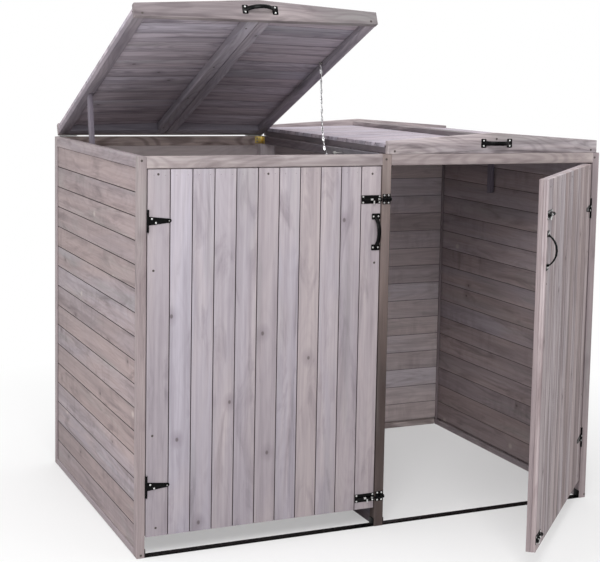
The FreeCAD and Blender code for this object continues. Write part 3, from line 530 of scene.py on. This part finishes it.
def whole_solids(mesh):
    """A node's shape with its loose triangles joined solid by solid, so that solids which touch
    stay apart. Its triangles lie solid after solid, and a solid is whole once every edge is met."""
    shape = bmesh.new()
    shape.from_mesh(mesh)
    found = []
    corners = set()
    unmet = set()
    for face in shape.faces:
        corners.update(face.verts)
        ends = [tuple(round(value / MERGE) for value in vert.co) for vert in face.verts]
        for edge in zip(ends, ends[1:] + ends[:1]):
            unmet ^= {frozenset(edge)}
        unmet = {edge for edge in unmet if len(edge) == 2}
        if not unmet:
            found.append(list(corners))
            corners = set()
    for verts in found:
        bmesh.ops.remove_doubles(shape, verts=verts, dist=MERGE)
    return shape


def merged_copy(name, ending):
    """A copy of a node in flat faces, selected and active."""
    bpy.ops.object.select_all(action="DESELECT")
    piece = bpy.data.objects.new(f"{name}_{ending}", nodes[name].data.copy())
    bpy.context.collection.objects.link(piece)
    shape = whole_solids(piece.data)
    shape.to_mesh(piece.data)
    shape.free()
    piece.select_set(True)
    bpy.context.view_layer.objects.active = piece
    bpy.ops.object.mode_set(mode="EDIT")
    bpy.ops.mesh.select_all(action="SELECT")
    bpy.ops.mesh.dissolve_limited(angle_limit=math.radians(1))
    bpy.ops.object.mode_set(mode="OBJECT")
    piece.data.materials.clear()
    return piece


def stand_in(piece, name, material):
    """Give a finished copy its material and let it stand for its node."""
    piece.data.materials.append(material)
    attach(piece, body_of_node[name])
    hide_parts(name)


def ease_edges(piece, width, angle):
    """Round the edges sharper than an angle a little and keep the faces between them flat."""
    bpy.ops.object.shade_smooth()
    eased = piece.modifiers.new("eased", "BEVEL")
    eased.width = width
    eased.segments = 2
    eased.limit_method = "ANGLE"
    eased.angle_limit = math.radians(angle)
    eased.harden_normals = True
    bpy.ops.object.modifier_apply(modifier="eased")


def rest_place(body):
    """How a door or a lid at rest is turned from its closed place."""
    for joint in frame["joints"]:
        if joint["child"] == body and joint["type"] == "hinge":
            pin = Matrix.Translation(joint["pos_m"])
            turned = Matrix.Rotation(math.radians(-joint["range_deg"][0]), 4, Vector(joint["axis"]))
            return pin @ turned @ pin.inverted()
    return Matrix.Identity(4)


def solids_of(name):
    """The lowest and highest corner of each solid of a node, with its body closed."""
    shape = whole_solids(nodes[name].data)
    shape.transform(rest_place(body_of_node[name]).inverted())
    boxes = []
    for piece in islands(shape):
        low = Vector(min(vert.co[axis] for vert in piece) for axis in range(3))
        high = Vector(max(vert.co[axis] for vert in piece) for axis in range(3))
        boxes.append((low, high))
    shape.free()
    return sorted(boxes, key=lambda box: tuple(round(value, 4) for value in (*box[0], *box[1])))


# Timber: the grain is laid along each board, and its edges are eased

# A board's face this close to the outside of its node is seen and takes no joint dirt or painted shade
OUTER_EDGE = 3 * MM

# Two edges are square when the cosine between them is below this
SQUARE_WITHIN = 0.05

# A face belongs to a board's long edges when it turns at least this share their way
EDGE_FACING = 0.3

# The way that grain runs, so that boards which lie alike are laid alike
GRAIN_WAY = Vector((1, 0.9, 1.1))

# Where a board is cut from the log, in metres along it, aside of its heart and above it
CUT_ALONG = (0, 40)
CUT_ASIDE = (-20 * MM, 20 * MM)
CUT_ABOVE = (12 * MM, 40 * MM)

# Above one, this makes warm boards rarer than cool ones
WARM_POWER = 1.5


def board_axes(piece):
    """Along, across and through a board, from its longest edge and the longest one square to it."""
    edges = {edge for vert in piece for edge in vert.link_edges}
    spans = [edge.verts[1].co - edge.verts[0].co for edge in edges]
    along = max(spans, key=lambda span: round(span.length, 5)).normalized()
    square = [span for span in spans if abs(span.normalized().dot(along)) < SQUARE_WITHIN]
    across = max(square, key=lambda span: round(span.length, 5)).normalized()
    across = (across - along * across.dot(along)).normalized()
    along = along if along.dot(GRAIN_WAY) > 0 else -along
    return along, across, along.cross(across)


def first_corner(piece):
    """A solid's corner that comes first by X, then Y, then Z, to count solids by."""
    return min(tuple(round(value, 4) for value in vert.co) for vert in piece)


def lay_grain(mesh, chance, joints, weather_and_shade, foot):
    """Write each board's own measures, tint and the joint edges that take dirt and painted shade into
    the mesh. The darkening by count darkens single boards, for weathering and on a few as painted
    shade, and foot darkens them all towards the ground, for weathering and as painted shade."""
    shape = bmesh.new()
    shape.from_mesh(mesh)
    grain = shape.verts.layers.float_vector.new("grain")
    tint = shape.verts.layers.float_vector.new("tint")
    hollow = shape.faces.layers.float.new("hollow")
    heights = [vert.co.z for vert in shape.verts]
    ground, rise = min(heights), max(heights) - min(heights)
    for count, piece in enumerate(sorted(islands(shape), key=first_corner)):
        axes = board_axes(piece)
        middle = sum((vert.co for vert in piece), Vector()) / len(piece)
        cut = Vector(chance.uniform(*span) for span in (CUT_ALONG, CUT_ASIDE, CUT_ABOVE))
        shade = Vector((chance.random() ** WARM_POWER, chance.random() + weather_and_shade.get(count, 0), 0))
        for vert in piece:
            vert[grain] = Vector((vert.co - middle).dot(axis) for axis in axes) + cut
            vert[tint] = shade + Vector((0, 0, foot * (1 - (vert.co.z - ground) / rise)))
        reach = [vert.co.dot(axes[1]) for vert in shape.verts]
        for face in {face for vert in piece for face in vert.link_faces}:
            level = face.calc_center_median().dot(axes[1])
            outer = min(level - min(reach), max(reach) - level) < OUTER_EDGE
            if joints and not outer and abs(face.normal.dot(axes[1])) > EDGE_FACING:
                face[hollow] = 1.0
    shape.to_mesh(mesh)
    shape.free()


def dress_timber(name, material, ease, weather_and_shade, foot):
    """Stand a detailed copy in for a timber node."""
    piece = merged_copy(name, "timber")
    ease_edges(piece, ease * MM, TIMBER_ANGLE)
    lay_grain(piece.data, random.Random(name), "boards" in name, weather_and_shade, foot)
    stand_in(piece, name, material)


# Node, wood, eased edge in millimetres, darkening of single boards, for weathering and on some as painted shade,
# and dark share at the foot, for weathering and painted shade
for name, material, ease, weather_and_shade, foot in (
    ("side_stiles", FRAME_WOOD, 1.2, {2: 1.2, 3: 1.2}, 0.1),
    ("side_rails", FRAME_WOOD, 0.8, {}, 0.1),
    # The middle post's strong dark foot is painted shade
    ("post_front_middle", POST_WOOD, 0.8, {}, 1.6),
    ("post_rear_middle", BACK_WOOD_PAINTED_LIGHT, 0.8, {}, 0.2),
    ("front_rails", FRONT_RAIL_WOOD, 0.8, {0: 0.6}, 0),
    ("divider_rails", DUSKY_WOOD_PAINTED_SHADE, 0.8, {}, 0),
    ("back_rails", RAIL_WOOD_PAINTED_LIGHT, 0.8, {}, 0),
    ("side_boards_left", SIDE_WOOD, 1.0, {}, 0.16),
    ("side_boards_right", SIDE_WOOD, 1.0, {}, 0.1),
    ("back_boards", BACK_WOOD_PAINTED_LIGHT, 1.0, {}, 0),
    ("door_left_boards", DOOR_WOOD, 1.0, {}, 0.24),
    ("door_right_boards", OPEN_DOOR_WOOD, 1.0, {0: 0.7, 2: 0.3, 4: 0.6, 6: 0.9, 7: 0.4, 9: 0.7}, 0.12),
    ("door_left_back_frame", FRAME_WOOD, 0.8, {}, 0.1),
    ("door_right_back_frame", FRAME_WOOD, 0.8, {0: 0.8}, 0.1),
    ("lid_left_fascias", LID_WOOD, 1.5, {0: 1.6, 1: 1.6}, 0),
    # Its rear fascia, the second board, is darkened as painted shade
    ("lid_right_fascias", LID_WOOD, 1.5, {1: 3.1}, 0),
    ("lid_left_battens", RAFTER_WOOD_PAINTED_LIGHT, 1.0, {0: 2.3}, 0),
    ("lid_right_battens", DUSKY_WOOD_PAINTED_SHADE, 1.0, {}, 0),
    ("lid_left_rafters", RAFTER_WOOD_PAINTED_LIGHT, 1.0, {}, 0),
    ("lid_right_rafters", RAFTER_WOOD_PAINTED_LIGHT, 1.0, {}, 0),
    ("lid_left_roof_boards", ROOF_WOOD_PAINTED_LIGHT, 0.8, {}, 0),
    ("lid_right_roof_boards", ROOF_WOOD_PAINTED_LIGHT, 0.8, {}, 0),
    ("lid_left_ridge_batten", LID_WOOD, 1.5, {}, 0),
    # The ridge batten is darkened as painted shade
    ("lid_right_ridge_batten", LID_WOOD, 1.5, {0: 3.4}, 0),
    ("prop_left", PROP_WOOD, 1.0, {}, 0),
    ("prop_right", PROP_WOOD, 1.0, {}, 0),
):
    dress_timber(name, material, ease, weather_and_shade, foot)


# Ironmongery: plates with eased edges, pressed grips, two-tone bolts and rounded wire

PLATE_EASE = 0.3 * MM
BOLT_EASE = 0.5 * MM
BAR_EASE = 0.6 * MM
CHAIN_RUNS = 5

# A pull handle's bowed grip: its span, how far it stands off the timber, and the share of its
# depth that the press leaves. It starts just off the pads.
GRIP_SPAN = 92 * MM
GRIP_STAND = 27 * MM
GRIP_FLAT = 0.45
PAD_THICK = 2 * MM
OFF_PAD = 0.1 * MM

# A bolt's knob, from its foot up to the rod
KNOB_LONG = 15 * MM


def dress_steel(name, material, ease=PLATE_EASE):
    """Stand a copy with eased edges and smooth round bars in for a steel node."""
    piece = merged_copy(name, "steel")
    ease_edges(piece, ease, STEEL_ANGLE)
    stand_in(piece, name, material)


def dress_handle(name, boards):
    """Stand a copy in for a pull handle, its bowed grip pressed flat as a strap of steel is."""
    piece = merged_copy(name, "steel")
    closed = rest_place(body_of_node[name])
    front = min(low.y for low, high in solids_of(boards))
    bow = ((GRIP_SPAN / 2) ** 2 + GRIP_STAND ** 2) / (2 * GRIP_STAND)
    low, high = solids_of(name)[0]
    long_way = 2 if high.z - low.z > high.x - low.x else 0
    middle = Vector((low + high) / 2)
    middle.y = front + bow - GRIP_STAND
    for vert in piece.data.vertices:
        spot = closed.inverted() @ vert.co
        if spot.y > front - PAD_THICK - OFF_PAD:
            continue
        arm = spot - middle
        arm[2 - long_way] = 0
        pressed = bow + (arm.length - bow) * GRIP_FLAT
        vert.co = closed @ (spot + arm.normalized() * (pressed - arm.length))
    ease_edges(piece, PLATE_EASE, STEEL_ANGLE)
    stand_in(piece, name, BLACK_STEEL)


def dress_bolt(side, level):
    """Stand a copy in for a bolt: a black rod, bright at its knob and where it slides in the guides."""
    name = f"bolt_{side}_{level}"
    piece = merged_copy(name, "steel")
    closed = rest_place(f"door_{side}")
    ease_edges(piece, BOLT_EASE, STEEL_ANGLE)
    spots = [closed.inverted() @ vert.co for vert in piece.data.vertices]
    foot = min(spot.z for spot in spots)
    knob = [spot.x for spot in spots if spot.z < foot + KNOB_LONG / 2]
    knob_middle = (min(knob) + max(knob)) / 2
    slide = piece.data.attributes.new("slide", "FLOAT_VECTOR", "POINT")
    for count, spot in enumerate(spots):
        slide.data[count].vector = ((spot.x - knob_middle) * TO_MIDDLE[side], 0, spot.z - foot)
    stand_in(piece, name, BOLT_STEEL)


def dress_wire(name, material):
    """Stand a copy with round wire in for a node of bent wire."""
    piece = merged_copy(name, "wire")
    bpy.ops.object.shade_smooth()
    rounded = piece.modifiers.new("rounded", "SUBSURF")
    rounded.levels = 1
    rounded.render_levels = 1
    bpy.ops.object.modifier_apply(modifier="rounded")
    stand_in(piece, name, material)


for side in TO_MIDDLE:
    for run in range(1, CHAIN_RUNS + 1):
        dress_wire(f"chain_{side}_{run}", CHAIN_ZINC)
    dress_wire(f"lid_{side}_chain_eye", DULL_ZINC)
    dress_steel(f"lid_{side}_hinge_leaves", BRIGHT_ZINC)
    dress_handle(f"lid_{side}_handle", f"lid_{side}_fascias")
    dress_steel(f"door_{side}_hinge_straps", BLACK_STEEL)
    dress_steel(f"door_{side}_bolt_plates", BLACK_STEEL)
    dress_handle(f"door_{side}_handle", f"door_{side}_boards")
    dress_bolt(side, "upper")
    dress_bolt(side, "lower")
dress_wire("chain_anchor_eyes", DULL_ZINC)
dress_steel("frame_lid_hinge_leaves", BRIGHT_ZINC)
dress_steel("frame_door_hinge_leaves", BLACK_STEEL)
dress_steel("bolt_keepers", BLACK_STEEL)
dress_steel("hinge_pins", BRIGHT_ZINC)
dress_steel("prop_screws", BRIGHT_ZINC)
dress_steel("divider_bracket", YELLOW_ZINC)
dress_steel("threshold_bars", BLACK_STEEL, BAR_EASE)


# Screws and nails, each modelled once and driven in where the timber and the plates are held

FRONT = (0, -1, 0)
BACK = (0, 1, 0)
DOWN = (0, 0, -1)
UP = (0, 0, 1)
LEFT = (-1, 0, 0)

# A cross slot's blade, in shares of the head's radius and height
SLOT_LONG = 1.15
SLOT_WIDE = 0.24
SLOT_DEEP = 0.9


def round_head(name, sides, radius, high, eased):
    """A low round head, its seat on the floor and its rim eased by a share of its height."""
    bpy.ops.object.select_all(action="DESELECT")
    bpy.ops.mesh.primitive_cylinder_add(vertices=sides, radius=radius, depth=high,
                                        location=(0, 0, high / 2))
    head = bpy.context.object
    head.name = name
    ease_edges(head, high * eased, HEAD_ANGLE)
    return head


def cross_head(name, radius, high):
    """A domed screw head with a cross recess."""
    head = round_head(name, 16, radius, high, 0.45)
    for turned in (45, 135):
        bpy.ops.object.select_all(action="DESELECT")
        bpy.ops.mesh.primitive_cube_add(size=1, location=(0, 0, high),
                                        rotation=(0, 0, math.radians(turned)))
        blade = bpy.context.object
        blade.scale = (radius * SLOT_LONG, radius * SLOT_WIDE, high * SLOT_DEEP)
        bpy.ops.object.transform_apply(location=False, rotation=True, scale=True)
        slot = head.modifiers.new("slot", "BOOLEAN")
        slot.object = blade
        slot.operation = "DIFFERENCE"
        bpy.context.view_layer.objects.active = head
        bpy.ops.object.modifier_apply(modifier="slot")
        bpy.data.objects.remove(blade)
    return head


SCREW = cross_head("screw_pattern", 3.0 * MM, 1.2 * MM)
TIP_SCREW = cross_head("tip_screw_pattern", 2.0 * MM, 1.0 * MM)
WOOD_SCREW = cross_head("wood_screw_pattern", 3.6 * MM, 0.6 * MM)
NAIL = round_head("nail_pattern", 12, 1.2 * MM, 0.3 * MM, 0.5)


def drive(name, pattern, material, body, facing, places):
    """Set a head at each place on the closed body, facing one way, and join them into one piece."""
    chance = random.Random(name)
    aim = Vector(facing).to_track_quat("Z", "Y").to_matrix().to_4x4()
    bpy.ops.object.select_all(action="DESELECT")
    for place in places:
        spun = Matrix.Rotation(chance.uniform(0, math.pi), 4, "Z")
        head = bpy.data.objects.new(name, pattern.data.copy())
        head.data.transform(rest_place(body) @ Matrix.Translation(place) @ aim @ spun)
        bpy.context.collection.objects.link(head)
        head.select_set(True)
        bpy.context.view_layer.objects.active = head
    bpy.ops.object.join()
    piece = bpy.context.object
    piece.name = name
    piece.data.materials.clear()
    piece.data.materials.append(material)
    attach(piece, body)


def in_from(low, high, inset):
    """The two places that lie an inset in from the ends of a span."""
    return low + inset, high - inset


# Screws in a hinge strap: ahead of the pin, and above the middle of the strap
STRAP_SCREWS = ((10.7 * MM, 7 * MM), (22.7 * MM, -5 * MM))
STRAP_TIP = 62.5 * MM

# Screws in a bolt plate or a keeper, a handle's pad, a hinge leaf and the corner plate: in from
# an end, in from the upper or lower rim, or aside of the middle
PLATE_THICK = 1.5 * MM
PLATE_END = 5 * MM
PLATE_RIM = 4.2 * MM
PAD_END = 9 * MM
PAD_ASIDE = 8.5 * MM
LEAF_END = 12 * MM
LEAF_RIM = 7 * MM
BRACKET_END = 9 * MM
BRACKET_RIM = 7 * MM

# Nails in a door board: below its top, and at shares of its width
BOARD_TOP = 17 * MM
BOARD_SHARES = (0.25, 0.72)

# Screws into a door's back frame: in from the hinge edge and up from the foot, in millimetres
DOOR_SCREWS = ((31, 1067), (369, 1064), (713, 1059), (18, 789), (726, 783), (18, 303), (30, 25))

# Screws in a lid's front fascia: in from its ends and up from its foot, and up under the ridge
FASCIA_END = 23 * MM
FASCIA_RISE = 9 * MM
RIDGE_RISE = 46 * MM

# Screws in a rafter: aside of its middle, and at shares of the run from front to rear
RAFTER_ASIDE = 5 * MM
RAFTER_SHARES = (0.05, 0.36, 0.64, 0.94)

# A roof board's thickness, and its nails: in from its ends, and at shares of its width
ROOF_THICK = 12 * MM
ROOF_END = 17 * MM
ROOF_SHARES = (0.28, 0.72)

# Screws in the posts' fronts: along X from the store's side or its middle and up, in millimetres
LEFT_POST_SCREWS = ((9, 1168), (13, 9))
RIGHT_POST_SCREWS = ((-18, 1164), (-4, 11))
MIDDLE_POST_SCREWS = ((-3, 1165),)


def screw_on_ironmongery(side):
    """Screws in a door's straps, bolt plates and handle and in its lid's handle."""
    door = f"door_{side}"
    lid = f"lid_{side}"
    pin = next(joint["pos_m"][0] for joint in frame["joints"] if joint["name"] == f"{door}_swing")
    board_front = min(low.y for low, high in solids_of(f"{door}_boards"))
    fascia_front = min(low.y for low, high in solids_of(f"{lid}_fascias"))

    # Hinge straps: two bright screws by the knuckle and a small dull one in the round tip
    heads = []
    tips = []
    for low, high in solids_of(f"{door}_hinge_straps"):
        level = (low.z + high.z) / 2
        for ahead, rise in STRAP_SCREWS:
            heads.append((pin + TO_MIDDLE[side] * ahead, low.y, level + rise))
        tips.append((pin + TO_MIDDLE[side] * STRAP_TIP, low.y, level))
    drive(f"{door}_strap_screws", SCREW, BRIGHT_ZINC, door, FRONT, heads)
    drive(f"{door}_strap_tip_screws", TIP_SCREW, DULL_ZINC, door, FRONT, tips)

    # Bolt plates: a screw in each corner
    heads = []
    for low, high in solids_of(f"{door}_bolt_plates"):
        for x in in_from(low.x, high.x, PLATE_END):
            for z in in_from(low.z, high.z, PLATE_RIM):
                heads.append((x, board_front - PLATE_THICK, z))
    drive(f"{door}_bolt_screws", SCREW, BRIGHT_ZINC, door, FRONT, heads)

    # Door handle: two screws side by side in each pad
    low, high = solids_of(f"{door}_handle")[0]
    middle = (low.x + high.x) / 2
    heads = [(middle + across, board_front - PAD_THICK, z)
             for across in (-PAD_ASIDE, PAD_ASIDE) for z in in_from(low.z, high.z, PAD_END)]
    drive(f"{door}_handle_screws", SCREW, BRIGHT_ZINC, door, FRONT, heads)

    # Lid handle: two screws one above the other in each pad
    low, high = solids_of(f"{lid}_handle")[0]
    middle = (low.z + high.z) / 2
    heads = [(x, fascia_front - PAD_THICK, middle + rise)
             for rise in (-PAD_ASIDE, PAD_ASIDE) for x in in_from(low.x, high.x, PAD_END)]
    drive(f"{lid}_handle_screws", SCREW, BRIGHT_ZINC, lid, FRONT, heads)


def nail_door(side):
    """Two nails across the top of each door board, and a screw wherever the back frame is held."""
    door = f"door_{side}"
    boards = solids_of(f"{door}_boards")
    front = min(low.y for low, high in boards)
    top = max(high.z for low, high in boards)
    foot = min(low.z for low, high in boards)
    heads = [(low.x + (high.x - low.x) * share, front, top - BOARD_TOP)
             for low, high in boards for share in BOARD_SHARES]
    drive(f"{door}_board_nails", NAIL, GREY_NAIL, door, FRONT, heads)
    edge = boards[0][0].x if side == "left" else boards[-1][1].x
    heads = [(edge + TO_MIDDLE[side] * across * MM, front, foot + rise * MM)
             for across, rise in DOOR_SCREWS]
    drive(f"{door}_board_screws", WOOD_SCREW, DARK_NAIL, door, FRONT, heads)


def nail_lid(side):
    """Screws in a lid's front fascia, rafters and hinges, and nails in its roof boards."""
    lid = f"lid_{side}"
    fascias = solids_of(f"{lid}_fascias")

    # Front fascia: a screw through each end and one under the ridge
    low, high = min(fascias, key=lambda box: box[0].y)
    middle = (low.x + high.x) / 2
    heads = [(x, low.y, low.z + FASCIA_RISE) for x in in_from(low.x, high.x, FASCIA_END)]
    heads.append((middle, low.y, low.z + RIDGE_RISE))
    drive(f"{lid}_fascia_screws", WOOD_SCREW, DARK_NAIL, lid, FRONT, heads)

    # Rafters: screws up through them, by the ends and by the middle of their run
    front_rafter, rear_rafter = sorted(solids_of(f"{lid}_rafters"), key=lambda box: box[0].y)
    low, high = front_rafter
    middle = (low.x + high.x) / 2
    run = rear_rafter[1].y - low.y
    heads = [(middle - RAFTER_ASIDE, low.y + run * share, low.z) for share in RAFTER_SHARES]
    drive(f"{lid}_rafter_screws", WOOD_SCREW, DARK_NAIL, lid, DOWN, heads)

    # Roof boards: two nails over the side batten and two over the rafter, on the sloping top
    heads = []
    for low, high in solids_of(f"{lid}_roof_boards"):
        rise = high.z - low.z - ROOF_THICK
        falls_left = (low.x + high.x) / 2 < middle
        for ahead in in_from(0, high.x - low.x, ROOF_END):
            share = ahead / (high.x - low.x)
            top = low.z + ROOF_THICK + rise * (share if falls_left else 1 - share)
            for back in ROOF_SHARES:
                heads.append((low.x + ahead, low.y + (high.y - low.y) * back, top))
    drive(f"{lid}_roof_nails", NAIL, GREY_NAIL, lid, UP, heads)

    # Hinges: two screws in each leaf on the back fascia
    fascia_back = max(high.y for low, high in fascias)
    heads = [(x, fascia_back + PLATE_THICK, high.z - LEAF_RIM)
             for low, high in solids_of(f"{lid}_hinge_leaves") for x in in_from(low.x, high.x, LEAF_END)]
    drive(f"{lid}_hinge_screws", SCREW, BRIGHT_ZINC, lid, BACK, heads)


def screw_frame():
    """Screws in the posts' fronts, the keepers and the yellow corner plate."""
    low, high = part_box("side_stiles")
    post_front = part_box("post_front_middle")[0].y
    heads = []
    for start, front, spots in ((low.x, low.y, LEFT_POST_SCREWS), (high.x, low.y, RIGHT_POST_SCREWS),
                                (0, post_front, MIDDLE_POST_SCREWS)):
        heads += [(start + across * MM, front, rise * MM) for across, rise in spots]
    drive("post_screws", WOOD_SCREW, DARK_NAIL, "frame", FRONT, heads)

    # Keepers: a screw above and below the bolt's guide
    heads = [((low.x + high.x) / 2, high.y - PLATE_THICK, z)
             for low, high in solids_of("bolt_keepers") for z in in_from(low.z, high.z, PLATE_RIM)]
    drive("keeper_screws", SCREW, BRIGHT_ZINC, "frame", FRONT, heads)

    # Yellow corner plate: two screws in the leg on the back rail and two in the leg on the divider
    low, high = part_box("divider_bracket")
    levels = in_from(low.z, high.z, BRACKET_RIM)
    heads = [(low.x + BRACKET_END, high.y - PLATE_THICK, z) for z in levels]
    drive("bracket_screws_on_rail", WOOD_SCREW, DULL_ZINC, "frame", FRONT, heads)
    heads = [(high.x - PLATE_THICK, low.y + BRACKET_END, z) for z in levels]
    drive("bracket_screws_on_divider", WOOD_SCREW, DULL_ZINC, "frame", LEFT, heads)


for side in TO_MIDDLE:
    screw_on_ironmongery(side)
for side in TO_MIDDLE:
    nail_door(side)
    nail_lid(side)
screw_frame()

for pattern in (SCREW, TIP_SCREW, WOOD_SCREW, NAIL):
    bpy.data.objects.remove(pattern)
